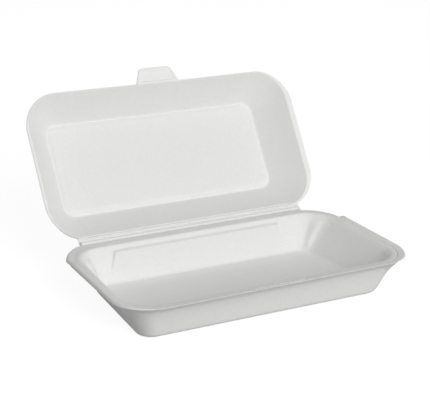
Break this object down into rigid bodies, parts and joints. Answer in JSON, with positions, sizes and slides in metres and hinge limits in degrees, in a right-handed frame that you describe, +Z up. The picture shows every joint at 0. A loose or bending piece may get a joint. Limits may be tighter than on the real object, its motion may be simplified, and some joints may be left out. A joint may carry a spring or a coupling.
{
  "type": "foam clamshell container",
  "caption": "White foam hinged-lid food container: shallow oblong tray with a wide rim, domed lid on a living hinge, and a locking tab that tucks into a slot in the tray's front rim.",
  "frame": {"origin": "middle of the tray's underside, on the surface that it stands on", "axes": "+X along the container's length, +Y towards the hinge at the back, +Z up"},
  "size_m": [0.254, 0.2038, 0.1399],
  "materials": {
    "tray_foam": "matt white foam sheet with a fine cell grain",
    "lid_foam": "matt white foam sheet with a fine cell grain"
  },
  "bodies": {
    "tray": {"tray": "tray_foam"},
    "lid": {"lid": "lid_foam"}
  },
  "joints": [
    {"name": "lid_hinge", "type": "hinge", "parent": "tray", "child": "lid", "pos_m": [0, 0.06125, 0.03215], "axis": [-1, 0, 0], "range_deg": [-125, 55]}
  ]
}
